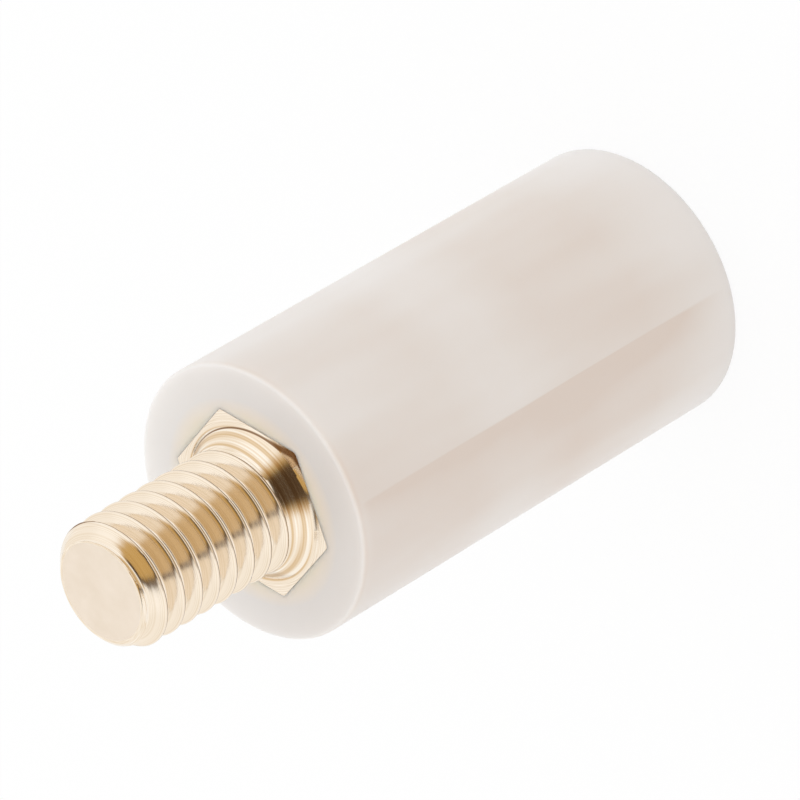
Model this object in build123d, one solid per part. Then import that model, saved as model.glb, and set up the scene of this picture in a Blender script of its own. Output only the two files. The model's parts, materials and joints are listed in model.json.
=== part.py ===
from build123d import *
from math import radians, sqrt, tan
import os

# Round nylon spacer with a threaded brass stud at one end and a tapped brass
# insert at the other. All sizes are in millimetres. +Z runs along the axis
# towards the stud, and the origin is the centre of the flat tapped end, on
# which the spacer stands.

# Nylon body, moulded round both brass inserts
body_diameter = 8.5
body_length = 16.25
body_edge_radius = 0.1
nylon_between_inserts = 2.2

# Metric coarse thread, the same size on the stud and in the tapped insert
thread_size = 4.0
thread_pitch = 0.7

# Stud. The thread is cut a little under its nominal size.
stud_length = 6.1
stud_undersize = 0.07
stud_tip_chamfer = 0.385

# Stud insert: a hexagonal root, flush with the nylon, and a turned shoulder
root_across_flats = 5.0
root_length = 5.5
shoulder_angle = 45.0

# Tapped insert: hexagonal bar with a blind hole
insert_across_flats = 6.0
insert_end_wall = 0.8
mouth_countersink = 0.15
drill_point_angle = 118.0

# Shared by both hexagonal bars
bar_corner_radius = 0.12
bar_end_chamfer = 0.3
groove_width = 1.2
groove_depth = 0.4

# How far a cutting solid reaches past what it cuts
cut_margin = 1.0

# Sizes that follow from the ones above
stud_radius = (thread_size - stud_undersize) / 2
tap_drill_radius = (thread_size - thread_pitch) / 2
insert_length = body_length - root_length - nylon_between_inserts


def grooved_bar(across_flats, length):
    """Hexagonal bar from z = 0 to z = length, with a corner of the hexagon on
    +X. Its upper end is the buried one: its corners are turned down, and a
    groove round the middle keys it into the nylon."""
    outline = RegularPolygon(across_flats / 2, 6, major_radius=False)
    bar = extrude(fillet(outline.vertices(), bar_corner_radius), length)

    corner_radius = across_flats / sqrt(3)
    blank = Pos(0, 0, length / 2) * Cylinder(corner_radius, length)
    buried_rim = blank.edges().filter_by(GeomType.CIRCLE).sort_by(Axis.Z)[-1]
    bar = bar & chamfer(buried_rim, bar_end_chamfer)

    groove_floor = across_flats / 2 - groove_depth
    cutter = Cylinder(corner_radius + cut_margin, groove_width)
    ring = cutter - Cylinder(groove_floor, groove_width)
    return bar - Pos(0, 0, length / 2) * ring


def root_bar():
    """Hexagonal root of the stud, in place, with its face flush with the
    stud end of the nylon."""
    return Pos(0, 0, body_length) * Rot(180, 0, 0) * grooved_bar(root_across_flats, root_length)


def stud():
    """Outside of the threaded stud above the nylon: the turned shoulder, the
    crest cylinder of the thread and the chamfered tip."""
    shoulder_radius = root_across_flats / 2
    shoulder_height = (shoulder_radius - stud_radius) * tan(radians(shoulder_angle))
    tip_radius = stud_radius - stud_tip_chamfer
    profile = Polyline(
        (0, 0, 0),
        (shoulder_radius, 0, 0),
        (stud_radius, 0, shoulder_height),
        (stud_radius, 0, stud_length - stud_tip_chamfer),
        (tip_radius, 0, stud_length),
        (0, 0, stud_length),
        close=True,
    )
    return Pos(0, 0, body_length) * revolve(make_face(profile), Axis.Z)


def tapped_hole():
    """Blind hole in the tapped insert: a countersunk mouth, the drilled wall
    and the drill's conical point, which stops short of the buried end."""
    mouth_radius = thread_size / 2 + mouth_countersink
    mouth_depth = mouth_radius - tap_drill_radius
    point_height = tap_drill_radius / tan(radians(drill_point_angle / 2))
    point_z = insert_length - insert_end_wall
    profile = Polyline(
        (0, 0, 0),
        (mouth_radius, 0, 0),
        (tap_drill_radius, 0, mouth_depth),
        (tap_drill_radius, 0, point_z - point_height),
        (0, 0, point_z),
        close=True,
    )
    return revolve(make_face(profile), Axis.Z)


def nylon_body():
    """Plain round body with rounded end edges, moulded tight round the bars."""
    blank = Pos(0, 0, body_length / 2) * Cylinder(body_diameter / 2, body_length)
    rims = blank.edges().filter_by(GeomType.CIRCLE)
    body = fillet(rims, body_edge_radius)
    return body - root_bar() - grooved_bar(insert_across_flats, insert_length)


def stud_insert():
    """Brass stud and its hexagonal root, turned from one bar."""
    return root_bar() + stud()


def tapped_insert():
    """Brass insert at the flat end, drilled and tapped."""
    return grooved_bar(insert_across_flats, insert_length) - tapped_hole()


pieces = {
    "nylon_body": nylon_body(),
    "stud_insert": stud_insert(),
    "tapped_insert": tapped_insert(),
}

os.makedirs("parts", exist_ok=True)
for name, piece in pieces.items():
    piece.label = name
    export_step(piece, f"parts/{name}.step")
    print(name, "volume", round(piece.volume, 2), "mm3")
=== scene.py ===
# %% [markdown]
# # A round nylon spacer
# The real spacer is a short rod of natural nylon, moulded round two brass inserts: a threaded
# stud at one end and a tapped hole at the other. The construction is already packed as a frame
# of three solids. This file gives them their looks: it models the real threads, the nylon with
# its rounded rims, and the finish of each surface. It starts by loading that frame.

# %% Load the frame
import json
import math

import bmesh
import bpy
from mathutils import Matrix, Vector, noise


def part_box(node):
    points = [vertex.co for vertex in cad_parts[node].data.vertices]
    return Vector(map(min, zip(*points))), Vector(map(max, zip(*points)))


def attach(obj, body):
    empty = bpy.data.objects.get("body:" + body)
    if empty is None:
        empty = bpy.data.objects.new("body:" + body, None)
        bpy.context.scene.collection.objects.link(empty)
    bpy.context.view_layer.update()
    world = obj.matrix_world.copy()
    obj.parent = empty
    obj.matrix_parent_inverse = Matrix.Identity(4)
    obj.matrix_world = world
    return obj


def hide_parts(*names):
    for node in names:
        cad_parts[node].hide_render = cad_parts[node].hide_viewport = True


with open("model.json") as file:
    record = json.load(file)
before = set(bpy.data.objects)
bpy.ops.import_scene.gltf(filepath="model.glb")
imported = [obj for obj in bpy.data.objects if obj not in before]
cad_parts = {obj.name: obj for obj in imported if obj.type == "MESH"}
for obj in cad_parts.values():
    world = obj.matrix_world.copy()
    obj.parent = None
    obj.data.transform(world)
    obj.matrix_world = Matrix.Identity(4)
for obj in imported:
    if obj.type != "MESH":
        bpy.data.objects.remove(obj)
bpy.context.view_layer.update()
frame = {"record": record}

# %% [markdown]
# ## Sizes from the frame
# Blender works in metres, so a size in millimetres is multiplied by `MM`. A hexagonal bar has a
# corner on +X, so its box is as deep as the bar is across its flats, and as wide as its corners
# reach. The mounts in the record give the thread's outside radius and the drilled radius. The
# few sizes that no box or mount shows, such as the pitch, are named where they are first used.

# %% Sizes of the three solids
MM = 0.001
nylon_low, nylon_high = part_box("nylon_body")
stud_low, stud_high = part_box("stud_insert")
tapped_low, tapped_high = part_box("tapped_insert")
mounts = {mount["name"]: mount for mount in frame["record"]["mounts"]}

body_radius = (nylon_high.x - nylon_low.x) / 2
face_z = nylon_high.z
tip_z = stud_high.z
crest_radius = mounts["stud"]["dims"]["r_mm"] * MM
drill_radius = mounts["tapped_hole"]["dims"]["r_mm"] * MM
print(f"Body {body_radius * 2 / MM:.2f} x {face_z / MM:.2f} mm")
print(f"Stud {(tip_z - face_z) / MM:.2f} mm long")

# %% [markdown]
# ## Rings
# A turned part is a stack of rings. Once a mesh has an open ring of edges, it can grow by
# extruding that ring and moving the new vertices, which is how the hexagonal roots grow out of
# the round threads. `grow` does one such step: `radius` says how far out each new vertex goes.
# Each vertex keeps its angle round the axis, so a circle can turn into a hexagon with no twist.
# A boolean could join a thread to a hexagon too, but it leaves thin triangles that shade badly.

# %% Find a ring and grow it
SAME_PLACE = 0.001 * MM


def polar(point):
    """Angle round Z, and distance from Z, of a point."""
    return math.atan2(point.y, point.x), math.hypot(point.x, point.y)


def put(vert, angle, radius, z):
    """Moves a vertex to an angle round Z, a distance from Z and a height."""
    vert.co = (radius * math.cos(angle), radius * math.sin(angle), z)


def open_ring(bm, z):
    """The open edges that lie at one height."""
    return [
        edge for edge in bm.edges
        if edge.is_boundary and all(abs(vert.co.z - z) < SAME_PLACE for vert in edge.verts)
    ]


def grow(bm, ring, z, radius):
    """Extrudes a ring to height z. radius is a number, or a function of a vertex's angle and
    its radius so far."""
    made = bmesh.ops.extrude_edge_only(bm, edges=ring)["geom"]
    for vert in (item for item in made if isinstance(item, bmesh.types.BMVert)):
        angle, so_far = polar(vert.co)
        put(vert, angle, radius(angle, so_far) if callable(radius) else radius, z)
    return [item for item in made if isinstance(item, bmesh.types.BMEdge) and item.is_boundary]


print(f"Heights closer than {SAME_PLACE / MM:.3f} mm count as one")

# %% Outline of a hexagonal bar
FLAT_MIDDLE = math.radians(30)


def hexagon(low, high, gap=0.0):
    """The outline of a hexagonal bar, from the bar's box, as a function for grow. It uses the
    angle only."""
    half_flats = (high.y - low.y) / 2 + gap
    corner_reach = (high.x - low.x) / 2 + gap

    def radius(angle, so_far=0.0):
        from_flat = angle % (2 * FLAT_MIDDLE) - FLAT_MIDDLE
        return min(half_flats / math.cos(from_flat), corner_reach)

    return radius


root_outline = hexagon(stud_low, stud_high)
tapped_outline = hexagon(tapped_low, tapped_high)
print(f"Root {root_outline(FLAT_MIDDLE) * 2 / MM:.2f} mm across flats")

# %% [markdown]
# ## A hexagonal bar
# Both inserts are cut from drawn hexagonal bar. A groove is turned round the middle, so that
# the nylon can't let go, and the buried end has its corners turned down. An extruded hexagon
# could be cut by two booleans. Rings do it with clean faces, and the same rings make the bar
# and the pocket that it leaves in the nylon, so the two always match.

# %% Grow a bar from its open face to its buried end
GROOVE_WIDTH = 1.2 * MM
GROOVE_DEPTH = 0.4 * MM
BAR_CHAMFER = 0.3 * MM


def grow_bar(bm, ring, face, buried, outline, gap=0.0):
    """Grows the sides of a bar from the height of its face to its buried end. gap is the room
    that a pocket leaves round the bar."""
    into = math.copysign(1, buried - face)
    middle = (face + buried) / 2
    half_groove = into * (GROOVE_WIDTH / 2 - gap)
    groove_floor = outline(FLAT_MIDDLE) - GROOVE_DEPTH
    turned_reach = outline(FLAT_MIDDLE) / math.cos(FLAT_MIDDLE) - BAR_CHAMFER
    end = buried + into * gap
    for z, radius in (
        (middle - half_groove, outline),
        (middle - half_groove, groove_floor),
        (middle + half_groove, groove_floor),
        (middle + half_groove, outline),
        (end - into * BAR_CHAMFER, outline),
        (end, lambda angle, so_far: min(outline(angle), turned_reach)),
    ):
        ring = grow(bm, ring, z, radius)
    return ring


print(f"Groove {GROOVE_WIDTH / MM:.1f} mm wide, {GROOVE_DEPTH / MM:.1f} mm deep")

# %% [markdown]
# ## The thread
# A screw thread is one V-shaped profile that climbs by its pitch in each turn. A stack of plain
# rings would look like one from afar, but its grooves don't run on into each other. `spin` can
# make the real helix in one step: its `dvec` lifts each copy of the profile a little, so a full
# turn climbs one pitch, and the last copy lands on the first, one thread higher. Merging the
# doubles joins them. The profile follows the metric standard: flanks at 60 degrees to each
# other and a rounded root. A cut thread's crests come out a little sharper than the standard's
# eighth of a pitch. A half width or a reach along the axis is given as a share of the pitch.

# %% Thread profile
PITCH = 0.7 * MM
CREST_HALF = 1 / 22
ROOT_HALF = 1 / 8
FLANK_CUTS = 5
FLANK_REACH = 0.5 - CREST_HALF - ROOT_HALF
FLANK_DEPTH = FLANK_REACH * PITCH * math.tan(math.radians(60))
CREST_EDGE = 0.012 * MM
EDGE_ON_CREST = 0.015
EDGE_ON_FLANK = 0.01
ROOT_SIDE_DEPTH = FLANK_DEPTH * 1.1
ROOT_DEPTH = FLANK_DEPTH * 1.13


def thread_profile():
    """Height, in pitches, and depth of each point of one thread, from crest to crest."""
    cuts = [step / FLANK_CUTS for step in range(1, FLANK_CUTS + 1)]
    half = [(0, 0), (CREST_HALF - EDGE_ON_CREST, 0), (CREST_HALF + EDGE_ON_FLANK, CREST_EDGE)]
    half += [(CREST_HALF + along * FLANK_REACH, along * FLANK_DEPTH) for along in cuts]
    half += [(0.5 - ROOT_HALF / 2, ROOT_SIDE_DEPTH), (0.5, ROOT_DEPTH)]
    other_half = [(1 - height, depth) for height, depth in reversed(half[1:-1])]
    return half + other_half


print(f"Thread {ROOT_DEPTH / MM:.3f} mm deep, {len(thread_profile())} points in a pitch")

# %% Spin a thread, and trim it
STEPS_ROUND = 192
THREAD_START = 0.146 * MM


def helix(bm, radius, low, high, crest_at, outward=1):
    """Spins a threaded tube that covers the heights from low to high, with a crest at the
    height crest_at on +X. depth goes inwards from radius on a stud, and outwards from it, with
    outward -1, in a nut."""
    first = math.floor((low - crest_at) / PITCH) - 2
    last = math.ceil((high - crest_at) / PITCH) + 1
    line = []
    for turn in range(first, last):
        for height, depth in thread_profile():
            z = crest_at + (turn + height) * PITCH
            line.append(bm.verts.new((radius - outward * depth, 0, z)))
    edges = [bm.edges.new(pair) for pair in zip(line, line[1:])]
    bmesh.ops.spin(
        bm, geom=line + edges, cent=(0, 0, 0), axis=(0, 0, 1), dvec=(0, 0, PITCH / STEPS_ROUND),
        angle=math.tau, steps=STEPS_ROUND, use_merge=False,
    )
    bmesh.ops.remove_doubles(bm, verts=bm.verts, dist=SAME_PLACE)


def trim(bm, z, upward):
    """Cuts a mesh level at height z and throws away what is above it, or with upward -1 what
    is below it. Returns the open ring of the cut."""
    bmesh.ops.bisect_plane(
        bm, geom=bm.verts[:] + bm.edges[:] + bm.faces[:], plane_co=(0, 0, z),
        plane_no=(0, 0, upward), clear_outer=True,
    )
    return open_ring(bm, z)


print(f"A turn climbs {PITCH / MM:.1f} mm in {STEPS_ROUND} steps")

# %% [markdown]
# ## From bmesh to a finished piece
# Every piece ends the same way: normals outwards, smooth shading with sharp edges kept where the
# surface turns by more than an angle, a call that tells the frame what the piece moves with, and
# one that hides the solid it stands for.

# %% Finish a piece
SHARP_TURN = math.radians(35)


def finish_piece(bm, name, node):
    bmesh.ops.recalc_face_normals(bm, faces=bm.faces)
    holes = sum(edge.is_boundary for edge in bm.edges)
    mesh = bpy.data.meshes.new(name)
    bm.to_mesh(mesh)
    volume = bm.calc_volume() / MM**3
    bm.free()
    mesh.shade_smooth()
    mesh.set_sharp_from_angle(angle=SHARP_TURN)
    piece = bpy.data.objects.new(name, mesh)
    bpy.context.collection.objects.link(piece)
    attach(piece, "root")
    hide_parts(node)
    print(f"{name}: {len(mesh.polygons)} faces, {holes} open edges, {volume:.1f} mm3")
    return piece


# %% [markdown]
# ## The stud
# The stud and its root are turned from one bar. It could be cut with booleans, but it is
# quicker to start with a long threaded tube and to limit its vertices, as a lathe tool does, by
# two cones at 45 degrees: the chamfer at the tip, which no vertex may stand outside, and the
# shoulder, which no vertex may lie inside. A real shoulder is never quite true, so it stands a
# little off centre, and a worn tool leaves small nicks along the crests. The tube is trimmed at
# the tip and at the nylon's face. There it grows the rounded edge of the tip and the flat, and
# the hexagonal root.

# %% Turn the threaded tube down
TIP_CHAMFER = 0.385 * MM
LEAST_RADIUS = 0.1 * MM
SHOULDER_RADIUS = 2.38 * MM
SHOULDER_LAND = 0.045 * MM
SHOULDER_OFFSET = 0.07 * MM
SHOULDER_TOWARDS = math.radians(-62)
NICK_DEPTH = 0.03 * MM
NICK_SIZE = 0.22 * MM
NICK_THRESHOLD = 0.35


def turn_down(vert):
    """Brings a vertex of the threaded tube to the surface that the lathe left."""
    angle, radius = polar(vert.co)
    z = vert.co.z
    chamfer = max(crest_radius - TIP_CHAMFER + (tip_z - z), LEAST_RADIUS)
    if radius > crest_radius - 2 * CREST_EDGE:
        nick = noise.noise(vert.co / NICK_SIZE) - NICK_THRESHOLD
        radius -= NICK_DEPTH * max(nick, 0)
    off_centre = SHOULDER_OFFSET * math.cos(angle - SHOULDER_TOWARDS)
    shoulder = SHOULDER_RADIUS + off_centre - (z - face_z - SHOULDER_LAND)
    put(vert, angle, max(min(radius, chamfer), shoulder), z)


print(f"Shoulder {2 * SHOULDER_RADIUS / MM:.2f} mm across at its foot")

# %% Rounded edge of the tip
CHAMFER_SLOPE = math.radians(45)
TIP_EDGE_ROUND = 0.12 * MM
TIP_EDGE_STEPS = 5
tip_edge_z = tip_z - TIP_EDGE_ROUND * (1 - math.sin(CHAMFER_SLOPE))


def round_tip_edge(bm, ring):
    """Grows the rounded edge from the chamfer to the flat, and returns the flat's rim."""
    middle_radius = crest_radius - TIP_CHAMFER - TIP_EDGE_ROUND * math.tan(CHAMFER_SLOPE / 2)
    for step in range(1, TIP_EDGE_STEPS + 1):
        slope = CHAMFER_SLOPE + (math.pi / 2 - CHAMFER_SLOPE) * step / TIP_EDGE_STEPS
        limit = middle_radius + TIP_EDGE_ROUND * math.cos(slope)
        z = tip_z - TIP_EDGE_ROUND * (1 - math.sin(slope))
        ring = grow(bm, ring, z, lambda angle, so_far: min(so_far, limit))
    return ring


print(f"Edge rounded {TIP_EDGE_ROUND / MM:.2f} mm, from {(tip_z - tip_edge_z) / MM:.3f} mm down")

# %% Model the stud
FLAT_INSET = 0.04 * MM
FACED = 1


def make_stud():
    bm = bmesh.new()
    helix(bm, crest_radius, face_z, tip_z, face_z + THREAD_START)
    for vert in bm.verts:
        turn_down(vert)
    ring = round_tip_edge(bm, trim(bm, tip_edge_z, 1))
    flat_rim = grow(bm, ring, tip_z, lambda angle, so_far: so_far - FLAT_INSET)
    for face in bmesh.ops.edgeloop_fill(bm, edges=flat_rim)["faces"]:
        face.material_index = FACED
    land = trim(bm, face_z + SHOULDER_LAND, -1)
    root = grow(bm, land, face_z, root_outline)
    buried = grow_bar(bm, root, face_z, stud_low.z, root_outline)
    bmesh.ops.edgeloop_fill(bm, edges=buried)
    return finish_piece(bm, "threaded_stud", "stud_insert")


stud = make_stud()

# %% [markdown]
# ## The tapped insert
# The thread in a nut is the same profile turned outwards from the drilled wall, so the same
# helix serves, and only the cones differ. Here they are the countersunk mouth and the taper of
# the tap, where the thread fades out. Below the thread the hole goes on as the drill left it,
# down to the cone of its point.

# %% Model the tapped insert
MOUTH_COUNTERSINK = 0.15 * MM
INSERT_END_WALL = 0.8 * MM
DRILL_POINT = math.radians(118)
POINT_BLUNTNESS = 0.01 * MM


def make_tapped_insert():
    point_top = tapped_high.z - INSERT_END_WALL
    wall_end = point_top - drill_radius / math.tan(DRILL_POINT / 2)
    thread_end = wall_end - PITCH
    mouth_radius = drill_radius + PITCH / 2 + MOUTH_COUNTERSINK
    bm = bmesh.new()
    helix(bm, drill_radius, 0, thread_end, THREAD_START, outward=-1)
    for vert in bm.verts:
        angle, radius = polar(vert.co)
        z = vert.co.z
        tap_reach = drill_radius + max(thread_end - z, 0)
        put(vert, angle, max(min(radius, tap_reach), mouth_radius - z), z)
    inside = trim(bm, thread_end, 1)
    mouth = trim(bm, 0, -1)
    inside = grow(bm, inside, wall_end, drill_radius)
    inside = grow(bm, inside, point_top - POINT_BLUNTNESS, 2 * POINT_BLUNTNESS)
    bmesh.ops.edgeloop_fill(bm, edges=inside)
    mouth = grow(bm, mouth, 0, tapped_outline)
    buried = grow_bar(bm, mouth, 0, tapped_high.z, tapped_outline)
    bmesh.ops.edgeloop_fill(bm, edges=buried)
    return finish_piece(bm, "tapped_brass_insert", "tapped_insert")


tapped = make_tapped_insert()

# %% [markdown]
# ## The nylon body
# The body is one moulding. A cylinder could be the start, but a spun line gives the side more
# rows and leaves both ends open. `bevel` rounds both rims, and each end then grows inwards to
# the hexagon of its insert and on into the pocket. The pocket matters although it is hidden:
# light enters nylon, and the brass below stops it. A hair's breadth of room keeps the two
# surfaces apart, because surfaces in the same place flicker.

# %% Spin the body's outline
BODY_ROWS = 24
STUD_COLLAR = 0.5 * MM
TAPPED_COLLAR = 0.25 * MM


def spin_body(bm):
    """The side and the outer part of both ends, as far in as a collar round each hexagon."""
    stud_collar = (stud_high.x - stud_low.x) / 2 + STUD_COLLAR
    tapped_collar = (tapped_high.x - tapped_low.x) / 2 + TAPPED_COLLAR
    outline = [(stud_collar, face_z), (body_radius, face_z)]
    outline += [(body_radius, face_z * (1 - row / BODY_ROWS)) for row in range(1, BODY_ROWS)]
    outline += [(body_radius, 0), (tapped_collar, 0)]
    line = [bm.verts.new((radius, 0, z)) for radius, z in outline]
    edges = [bm.edges.new(pair) for pair in zip(line, line[1:])]
    bmesh.ops.spin(
        bm, geom=line + edges, cent=(0, 0, 0), axis=(0, 0, 1), dvec=(0, 0, 0),
        angle=math.tau, steps=STEPS_ROUND, use_merge=True,
    )


def on_rim(edge):
    """Whether an edge lies on one of the body's two rims."""
    heights = [vert.co.z for vert in edge.verts]
    outside = all(abs(polar(vert.co)[1] - body_radius) < SAME_PLACE for vert in edge.verts)
    return outside and (min(heights) > face_z - SAME_PLACE or max(heights) < SAME_PLACE)


print(f"Side of {BODY_ROWS} rows, {face_z / BODY_ROWS / MM:.2f} mm each")

# %% Model the body
RIM_ROUND = 0.1 * MM
RIM_SEGMENTS = 8
POCKET_GAP = 0.004 * MM


def make_body():
    bm = bmesh.new()
    spin_body(bm)
    bmesh.ops.bevel(
        bm, geom=[edge for edge in bm.edges if on_rim(edge)], offset=RIM_ROUND,
        offset_type="OFFSET", segments=RIM_SEGMENTS, profile=0.5, affect="EDGES", material=-1,
    )
    for face, buried, low, high in (
        (face_z, stud_low.z, stud_low, stud_high),
        (0, tapped_high.z, tapped_low, tapped_high),
    ):
        pocket = hexagon(low, high, POCKET_GAP)
        ring = grow(bm, open_ring(bm, face), face, pocket)
        ring = grow_bar(bm, ring, face, buried, pocket, POCKET_GAP)
        bmesh.ops.edgeloop_fill(bm, edges=ring)
    return finish_piece(bm, "moulded_body", "nylon_body")


body = make_body()

# %% [markdown]
# ## Colour and nodes
# A colour is picked on screen as an sRGB hex value, and Blender's shaders want linear light, so
# one function converts. Another adds a node of any kind, with its settings and its links. An
# input takes a value, or the output of another node, or another node, which stands for its
# first output.

# %% Helpers for materials
def linear(hex_colour):
    """sRGB hex such as "E8C27A" to linear RGBA."""
    parts = [int(hex_colour[i:i + 2], 16) / 255 for i in (0, 2, 4)]
    return [c / 12.92 if c <= 0.04045 else ((c + 0.055) / 1.055) ** 2.4 for c in parts] + [1]


def add(tree, kind, inputs=None, stops=(), **settings):
    """Adds a node. inputs gives its inputs, by name or number, and settings its properties.
    stops are the positions and values of a colour ramp, where a value is a grey or a hex."""
    node = tree.nodes.new("ShaderNode" + kind)
    for name, value in settings.items():
        setattr(node, name, value)
    for name, value in (inputs or {}).items():
        if isinstance(value, bpy.types.Node):
            value = value.outputs[0]
        if isinstance(value, bpy.types.NodeSocket):
            tree.links.new(value, node.inputs[name])
        else:
            node.inputs[name].default_value = value
    if stops:
        elements = node.color_ramp.elements
        while len(elements) < len(stops):
            elements.new(0.5)
        for element, (position, value) in zip(elements, stops):
            element.position = position
            element.color = linear(value) if isinstance(value, str) else (value, value, value, 1)
    return node


def new_material(name):
    material = bpy.data.materials.new(name)
    material.use_nodes = True
    material.node_tree.nodes.clear()
    return material, material.node_tree


WHITE = "FFFFFF"
print("Mid grey 808080 is", round(linear("808080")[0], 3), "in linear light")

# %% [markdown]
# ## Places on a turned thread
# Two measures tell a material where it is. One is the distance from the axis. The other is the
# phase of the thread: it goes from 0 to 1 between one root and the next, is 0.5 on the crest
# between them, and stays the same all the way along the helix.

# %% Distance from the axis, and phase of the thread
def distance_from_axis(tree, place):
    level = add(tree, "VectorMath", {0: place, 1: (1, 1, 0)}, operation="MULTIPLY")
    return add(tree, "VectorMath", {0: level}, operation="LENGTH").outputs["Value"]


def thread_phase(tree, xyz, crest_at):
    """crest_at is the height of a crest on +X."""
    x, y, z = xyz.outputs
    angle = add(tree, "Math", {0: y, 1: x}, operation="ARCTAN2")
    climb = add(tree, "Math", {0: angle, 1: -1 / math.tau}, operation="MULTIPLY")
    rise = add(tree, "Math", {0: z, 1: PITCH}, operation="DIVIDE")
    turns = add(tree, "Math", {0: rise, 1: climb}, operation="ADD")
    from_root = add(tree, "Math", {0: turns, 1: 0.5 - crest_at / PITCH % 1}, operation="ADD")
    return add(tree, "Math", {0: from_root}, operation="FRACT")


print(f"First crest on +X is {THREAD_START / PITCH:.2f} of a pitch above the face")

# %% [markdown]
# ## Turned brass
# Free-cutting brass straight from the lathe is bright, with fine lines that the tool's feed
# leaves. They run round the axis, and on the thread they follow the helix. An anisotropic shader
# could stand for them, but here they are near enough to be seen, so they are noise that is
# stretched along the cut: it reads the distance from the axis and the height, or on the thread the
# phase, and never the angle. Feed lines are a few hundredths of a millimetre apart. The coarse
# ones are drawn wider than that, so that they show. Two things darken the metal: the steps on the
# shoulder, and a thin dark line close behind each crest, which is partly burr and partly painted
# shade in the root of the thread.

# %% Turned brass material
FINE_LINES = 0.035 * MM
COARSE_LINES = 0.12 * MM
LINE_DEPTH = 0.006 * MM
THREAD_MARGIN = 0.005 * MM
BURR_AND_SHADE_BAND = 0.06 * MM


def feed_lines(tree, radius, along):
    """Fine and coarse lines that stay the same round the axis."""
    lathe = add(tree, "CombineXYZ", {0: radius, 1: along})
    return [
        add(tree, "TexNoise", {"Vector": lathe, "Scale": 1 / width, "Detail": detail})
        for width, detail in ((FINE_LINES, 2.0), (COARSE_LINES, 1.0))
    ]


def shoulder_steps_and_crest_shade(tree, colour, coarse, radius, phase):
    """Gives the shoulder its darker steps, and paints a dark line behind each crest that is partly
    burr and partly painted shade in the root.
    """
    steps = add(
        tree, "ValToRGB", {0: coarse}, [(0.38, "DCC09A"), (0.5, "EFDDC4"), (0.62, "FBF2E4")],
    )
    reach = add(tree, "Math", {0: radius, 1: body_radius}, operation="DIVIDE")
    plain = add(
        tree, "ValToRGB", {0: reach}, [(0.462, 1.0), (0.466, 0.0), (0.56, 0.0), (0.59, 1.0)],
    )
    toned = add(tree, "Mix", {0: plain, 6: steps, 7: colour}, data_type="RGBA")
    behind = add(
        tree, "ValToRGB", {0: phase}, [(0.42, 0.0), (0.45, 1.0), (0.485, 1.0), (0.5, 0.0)],
    )
    outside = add(tree, "Math", {0: radius, 1: crest_radius - BURR_AND_SHADE_BAND}, operation="GREATER_THAN")
    burr_and_shade = add(tree, "Math", {0: behind, 1: outside}, operation="MULTIPLY")
    # A dark line behind each crest: partly burr, partly painted shade in the root.
    with_crest_shade = add(
        tree, "Mix", {0: burr_and_shade, 6: toned.outputs[2], 7: linear("8F6F52")}, data_type="RGBA",
    )
    return with_crest_shade.outputs[2]


def turned_brass(name, crest_at=None):
    """crest_at is the height of the stud's crest on +X. The hole needs none: its thread lies
    deep in shade, so plain rings serve."""
    material, tree = new_material(name)
    place = add(tree, "TexCoord").outputs["Object"]
    xyz = add(tree, "SeparateXYZ", {0: place})
    radius = distance_from_axis(tree, place)
    along = xyz.outputs["Z"]
    if crest_at is not None:
        phase = thread_phase(tree, xyz, crest_at)
        helical = add(tree, "Math", {0: phase, 1: PITCH}, operation="MULTIPLY")
        threaded = add(
            tree, "Math", {0: radius, 1: crest_radius + THREAD_MARGIN}, operation="LESS_THAN",
        )
        along = add(tree, "Mix", {0: threaded, 2: along, 3: helical}, data_type="FLOAT")
    fine, coarse = feed_lines(tree, radius, along)
    lines = add(tree, "Math", {0: fine, 1: coarse}, operation="ADD")
    bump = add(tree, "Bump", {"Height": lines, "Strength": 0.3, "Distance": LINE_DEPTH})
    colour = add(tree, "ValToRGB", {0: fine}, [(0.32, "EBDAC2"), (0.68, "FCF2E4")])
    if crest_at is not None:
        colour = shoulder_steps_and_crest_shade(tree, colour, coarse, radius, phase)
    shader = add(
        tree, "BsdfPrincipled",
        {"Base Color": colour, "Normal": bump, "Metallic": 1.0, "Roughness": 0.16},
    )
    add(tree, "OutputMaterial", {"Surface": shader})
    print(f"{name}: {len(tree.nodes)} nodes")
    return material


stud.data.materials.append(turned_brass("turned_free_cutting_brass", face_z + THREAD_START))
tapped.data.materials.append(turned_brass("tapped_free_cutting_brass"))

# %% [markdown]
# ## Faced brass
# The flat at the stud's tip is faced off. Its feed lines are too fine to show, and give a
# paler, softer gleam with a faint cloud. One material could hold both finishes and choose by
# height, but a slot of its own, on the flat's faces, keeps the edge between them sharp.

# %% Faced brass material
CLOUD_SIZE = 0.7 * MM
CLOUD_DEPTH = 0.01 * MM


def faced_brass():
    material, tree = new_material("faced_free_cutting_brass")
    place = add(tree, "TexCoord").outputs["Object"]
    cloud = add(tree, "TexNoise", {"Vector": place, "Scale": 1 / CLOUD_SIZE, "Detail": 3.0})
    colour = add(tree, "ValToRGB", {0: cloud}, [(0.3, "EDE0D0"), (0.7, "F3E7D9")])
    bump = add(tree, "Bump", {"Height": cloud, "Strength": 0.2, "Distance": CLOUD_DEPTH})
    shader = add(
        tree, "BsdfPrincipled",
        {"Base Color": colour, "Normal": bump, "Metallic": 1.0, "Roughness": 0.3},
    )
    add(tree, "OutputMaterial", {"Surface": shader})
    print(f"{material.name}: {len(tree.nodes)} nodes")
    return material


stud.data.materials.append(faced_brass())

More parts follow.
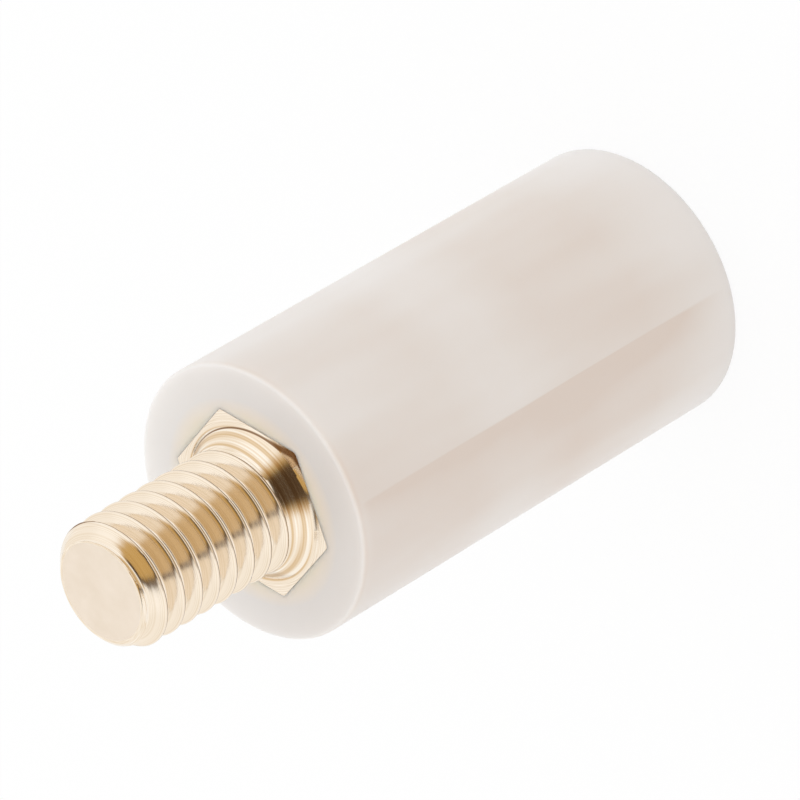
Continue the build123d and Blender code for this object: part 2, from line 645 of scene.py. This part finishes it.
# %% [markdown]
# ## Natural nylon
# Unfilled nylon is milky: light goes in, scatters and comes out again, so edges look soft. A long
# scattering would let the brass show through the wall by itself, but it needs many samples and its
# tones can't be set one by one. So the shader scatters over 0.3 mm only, and what lies deeper is a
# tint by place, in four parts. The wall looks warmest over the inserts, and paler between them and
# at the tapped end; at the stud end the rim is darkened with painted shade and the face is
# lightened with painted light. A streak of painted shade, sharp on one side, runs down one side of
# the wall. One side of the body is a little darker with painted shade. Close to the stud's root, a
# painted glow of light from the brass warms the face.

# %% Tone over the brass, painted shade and light at the stud end, and a painted shade streak
SHADE_STREAK_ANGLE = math.radians(-93)
SHADE_STREAK_WIDTH = math.radians(38)
CLOUD_WIDTH = 2.2 * MM
CLOUD_STRETCH = 0.22


def brass_tone_and_painted_end_shading(tree, place, height):
    """The ramp runs from the tapped end, at 0, to the stud end, at 1. Just below 1 it paints shade
    on the stud end's rim, and at 1 it paints light on the end face.
    """
    below = add(tree, "ValToRGB", {0: height}, [
        (0.0, 0.1), (0.05, 0.3), (0.13, 0.55), (0.22, 0.85), (0.44, 0.85), (0.56, 0.5),
        # From 0.985 on: painted shade on the rounded rim, then painted light on the end face.
        (0.63, 0.5), (0.72, 0.75), (0.92, 0.7), (0.985, 0.7), (0.995, 1.0), (0.9995, 0.1),
    ])
    drawn_out = add(tree, "Mapping", {"Vector": place, "Scale": (1, 1, CLOUD_STRETCH)})
    cloud = add(tree, "TexNoise", {"Vector": drawn_out, "Scale": 1 / CLOUD_WIDTH, "Detail": 2.0})
    return add(tree, "Math", {0: below, 1: cloud}, operation="MULTIPLY")


def painted_shade_streak(tree, xyz, height):
    """A streak of painted shade: sharp on one side, fading out over its width on the other, and
    gone at both ends.
    """
    x, y = xyz.outputs[:2]
    angle = add(tree, "Math", {0: y, 1: x}, operation="ARCTAN2")
    past_line = add(tree, "Math", {0: SHADE_STREAK_ANGLE, 1: angle}, operation="SUBTRACT")
    share = add(tree, "Math", {0: past_line, 1: SHADE_STREAK_WIDTH}, operation="DIVIDE")
    across = add(tree, "ValToRGB", {0: share}, [
        (0.0, 0.0), (0.03, 1.0), (0.15, 0.75), (0.5, 0.4), (1.0, 0.0),
    ])
    along = add(tree, "ValToRGB", {0: height}, [
        (0.02, 0.0), (0.15, 0.5), (0.4, 0.8), (0.7, 0.55), (0.9, 0.35), (0.97, 0.2), (0.99, 0.0),
    ])
    return add(tree, "Math", {0: across, 1: along}, operation="MULTIPLY")


# Angle of the painted shade streak down the side.
print(f"Painted shade streak {math.degrees(SHADE_STREAK_ANGLE):.0f} degrees round from +X")

# %% Painted shade on one side, and a painted glow beside the stud
SHADED_SIDE_ANGLE = math.radians(-102)
SIDE_SHADE_TONE = 0.3
PAINTED_BRASS_GLOW = "FFEDD6"


def painted_side_shade(tree, place):
    """Painted shade on one side: from none on the far side to SIDE_SHADE_TONE on the shaded one.
    """
    towards = (math.cos(SHADED_SIDE_ANGLE) / body_radius, math.sin(SHADED_SIDE_ANGLE) / body_radius, 0)
    side = add(tree, "VectorMath", {0: place, 1: towards}, operation="DOT_PRODUCT")
    return add(tree, "MapRange", {0: side.outputs["Value"], "From Min": -1, "To Max": SIDE_SHADE_TONE})


def paint_brass_glow_beside_stud(tree, place, height, colour):
    """Paints a glow of light from the brass on the face round the root, fading outwards and down
    the side.
    """
    reach = add(
        tree, "Math", {0: distance_from_axis(tree, place), 1: body_radius}, operation="DIVIDE",
    )
    beside = add(tree, "ValToRGB", {0: reach}, [(0.58, 1.0), (0.76, 0.0)])
    upper = add(tree, "ValToRGB", {0: height}, [(0.93, 0.0), (0.999, 1.0)])
    lit = add(tree, "Math", {0: beside, 1: upper}, operation="MULTIPLY")
    return add(tree, "Mix", {0: lit, 6: colour, 7: linear(PAINTED_BRASS_GLOW)}, data_type="RGBA")


# Direction of the side darkened with painted shade.
print(f"Shaded side {math.degrees(SHADED_SIDE_ANGLE):.0f} degrees round from +X")

# %% Natural nylon material
SCATTERING = 0.3 * MM


def natural_nylon():
    material, tree = new_material("moulded_natural_nylon")
    place = add(tree, "TexCoord").outputs["Object"]
    xyz = add(tree, "SeparateXYZ", {0: place})
    height = add(tree, "Math", {0: xyz.outputs["Z"], 1: face_z}, operation="DIVIDE")
    tone = brass_tone_and_painted_end_shading(tree, place, height)
    for part in (painted_shade_streak(tree, xyz, height), painted_side_shade(tree, place)):
        tone = add(tree, "Math", {0: tone, 1: part}, operation="ADD")
    colour = add(tree, "ValToRGB", {0: tone}, [
        (0.0, "F7F4F1"), (0.2, "EBE7E4"), (0.6, "E3DBD4"), (1.0, "DCCEC3"),
    ])
    # Painted glow of light from the brass round the stud's root.
    with_painted_glow = paint_brass_glow_beside_stud(tree, place, height, colour)
    shader = add(tree, "BsdfPrincipled", {
        "Base Color": with_painted_glow.outputs[2], "Roughness": 0.38, "IOR": 1.53,
        "Subsurface Weight": 1.0, "Subsurface Radius": (1.0, 1.0, 1.0),
        "Subsurface Scale": SCATTERING,
    })
    add(tree, "OutputMaterial", {"Surface": shader})
    print(f"{material.name}: {len(tree.nodes)} nodes")
    return material


body.data.materials.append(natural_nylon())

# %% [markdown]
# ## What bright metal reflects
# Polished brass has little colour of its own to show: it shows the room. In an all white room
# it would look white and flat. So the floor and the world hold zones of gold and brown, which
# stand for the other brass and the dark things near a bench, and only rays that leave a glossy
# surface see them. All other light stays white, so they don't tint the nylon. The zones are
# placed from left to right in the camera's view, so its angle round the spacer comes first.

# %% Camera's side, and colours of the room
CAMERA_AZIMUTH = math.radians(18.3)
GOLD, PALE_GOLD, BROWN = "C6A468", "D2B680", "4E3D2C"
LEFT, RIGHT = 1, -1


def seen_by_camera(tree, place):
    """The place's x, y and z, turned so that X runs to the left of the view, which is rolled,
    and -Y towards the camera."""
    turned = add(
        tree, "VectorRotate", {"Vector": place, "Angle": -CAMERA_AZIMUTH}, rotation_type="Z_AXIS",
    )
    return add(tree, "SeparateXYZ", {0: turned}).outputs


print(f"Camera stands {math.degrees(CAMERA_AZIMUTH):.1f} degrees round")

# %% [markdown]
# ## Floor
# The spacer stands on a white table. A plain white floor turns grey in its own soft shadow, so
# most of this one glows for the camera, reflections and clear things, and keeps a little of its
# diffuse white, which takes the shadow. To all other rays it is a plain diffuse white.

# %% Floor
FLOOR_HALF_SIZE = 1.0
FLOOR_GLOW = 0.85
GOLD_FROM, GOLD_FULL = -28 * MM, -40 * MM


def table_zones(tree, place, glossy):
    """White, with gold and brown in front of the spacer for glossy rays only."""
    x, y = seen_by_camera(tree, place)[:2]
    side = add(tree, "Math", {0: x, 1: distance_from_axis(tree, place)}, operation="DIVIDE")
    across = add(tree, "MapRange", {0: side, "From Min": LEFT, "From Max": RIGHT})
    zones = add(tree, "ValToRGB", {0: across}, [
        (0.14, WHITE), (0.21, PALE_GOLD), (0.76, PALE_GOLD), (0.79, BROWN), (0.84, BROWN),
        (0.87, WHITE),
    ])
    front = add(
        tree, "MapRange", {0: y, "From Min": GOLD_FROM, "From Max": GOLD_FULL},
        interpolation_type="SMOOTHSTEP",
    )
    share = add(tree, "Math", {0: front, 1: glossy}, operation="MULTIPLY")
    return add(tree, "Mix", {0: share, 6: linear(WHITE), 7: zones}, data_type="RGBA").outputs[2]


def white_table():
    material, tree = new_material("white_table")
    material.cycles.emission_sampling = "NONE"
    path = add(tree, "LightPath")
    place = add(tree, "TexCoord").outputs["Object"]
    matt = add(tree, "BsdfDiffuse", {"Color": linear(WHITE)})
    colour = table_zones(tree, place, path.outputs["Is Glossy Ray"])
    glow = add(tree, "Emission", {"Color": colour, "Strength": 1.0})
    seen = path.outputs["Is Camera Ray"]
    for other in ("Is Glossy Ray", "Is Transmission Ray"):
        seen = add(tree, "Math", {0: seen, 1: path.outputs[other]}, operation="MAXIMUM")
    share = add(tree, "Math", {0: seen, 1: FLOOR_GLOW}, operation="MULTIPLY")
    both = add(tree, "MixShader", {0: share, 1: matt, 2: glow})
    add(tree, "OutputMaterial", {"Surface": both})
    return material


def make_floor():
    bm = bmesh.new()
    bmesh.ops.create_grid(bm, x_segments=1, y_segments=1, size=FLOOR_HALF_SIZE)
    mesh = bpy.data.meshes.new("floor")
    bm.to_mesh(mesh)
    bm.free()
    floor = bpy.data.objects.new("floor", mesh)
    bpy.context.collection.objects.link(floor)
    mesh.materials.append(white_table())
    print(f"Floor {2 * FLOOR_HALF_SIZE:.0f} m wide")


make_floor()

# %% [markdown]
# ## World
# The world is the only light: an even white, a little stronger on the left. Lamps would do too,
# but each would show as a hard spot in every turn of the thread. To glossy rays the world has
# three parts: overhead, where gold and brown bands run between white ones, in front of the
# spacer, where the bands are wider, and aside, behind or low down, where it is a warm white.

# %% World
ASIDE = "F7F5F2"
MIRRORED_STRENGTH = 1.08
SOFT_STRENGTH = 1.06
RIGHT_SHARE = 0.86
FRONT_STEP = (-0.30, -0.50)
BACK_STEP = (0.2, 0.45)
LOW_STEP = (0.6, 0.4)


def mirrored_room(tree, across, y, z):
    """What glossy rays see. Each soft step goes from 0 to 1 while a part of the ray's direction
    passes from the step's first value to its second."""
    overhead = add(tree, "ValToRGB", {0: across}, [
        (0.29, WHITE), (0.35, GOLD), (0.63, GOLD), (0.65, BROWN), (0.69, BROWN), (0.72, WHITE),
    ])
    frontal = add(tree, "ValToRGB", {0: across}, [
        (0.24, WHITE), (0.32, GOLD), (0.39, BROWN), (0.68, BROWN), (0.77, GOLD), (0.86, WHITE),
    ])
    front, back, low = (
        add(
            tree, "MapRange", {0: part, "From Min": start, "From Max": full},
            interpolation_type="SMOOTHSTEP",
        )
        for part, (start, full) in ((y, FRONT_STEP), (y, BACK_STEP), (z, LOW_STEP))
    )
    aside = add(tree, "Math", {0: back, 1: low}, operation="MAXIMUM")
    bands = add(tree, "Mix", {0: front, 6: overhead, 7: frontal}, data_type="RGBA").outputs[2]
    return add(tree, "Mix", {0: aside, 6: bands, 7: linear(ASIDE)}, data_type="RGBA").outputs[2]


def make_world():
    world = bpy.data.worlds.new("studio")
    bpy.context.scene.world = world
    world.use_nodes = True
    world.cycles.sampling_method = "NONE"
    tree = world.node_tree
    tree.nodes.clear()
    path = add(tree, "LightPath")
    x, y, z = seen_by_camera(tree, add(tree, "TexCoord").outputs["Generated"])
    across = add(tree, "MapRange", {0: x, "From Min": LEFT, "From Max": RIGHT})
    room = mirrored_room(tree, across, y, z)
    mirrored = add(tree, "Background", {"Color": room, "Strength": MIRRORED_STRENGTH})
    even = add(tree, "ValToRGB", {0: across}, [(0.0, 1.0), (1.0, RIGHT_SHARE)])
    soft = add(tree, "Background", {"Color": even, "Strength": SOFT_STRENGTH})
    white = add(tree, "Background", {"Color": linear(WHITE), "Strength": 1.0})
    light = add(tree, "MixShader", {0: path.outputs["Is Glossy Ray"], 1: soft, 2: mirrored})
    light = add(tree, "MixShader", {0: path.outputs["Is Camera Ray"], 1: light, 2: white})
    add(tree, "OutputWorld", {"Surface": light})
    print(f"World: {len(tree.nodes)} nodes")


make_world()

# %% [markdown]
# ## Camera
# The camera looks down on the stud end with a long lens from about twenty centimetres, and is
# rolled so that the spacer seems to lie across the view, stud towards the lower left. It could
# be placed by hand, but a turn, a tilt, a distance and a roll are easier to change one by one.

# %% Camera
CAMERA_ELEVATION = math.radians(39.2)
CAMERA_ROLL = math.radians(-120.5)
CAMERA_DISTANCE = 201.9 * MM
CAMERA_TARGET = Vector((0.377 * MM, 0, 9.726 * MM))
LENS_MM = 316.5
SENSOR_MM = 36
CLIP_NEAR, CLIP_FAR = 0.01, 10


def make_camera():
    data = bpy.data.cameras.new("camera")
    data.lens = LENS_MM
    data.sensor_width = SENSOR_MM
    data.clip_start, data.clip_end = CLIP_NEAR, CLIP_FAR
    camera = bpy.data.objects.new("camera", data)
    bpy.context.collection.objects.link(camera)
    turn = Matrix.Rotation(CAMERA_AZIMUTH, 4, "Z")
    tilt = Matrix.Rotation(math.pi / 2 - CAMERA_ELEVATION, 4, "X")
    roll = Matrix.Rotation(CAMERA_ROLL, 4, "Z")
    away = Matrix.Translation((0, 0, CAMERA_DISTANCE))
    target = Matrix.Translation(turn @ CAMERA_TARGET)
    camera.matrix_world = target @ turn @ tilt @ away @ roll
    bpy.context.scene.camera = camera
    print("Camera at, mm:", [round(c / MM, 1) for c in camera.matrix_world.translation])


make_camera()
bpy.context.scene.view_settings.view_transform = "Standard"
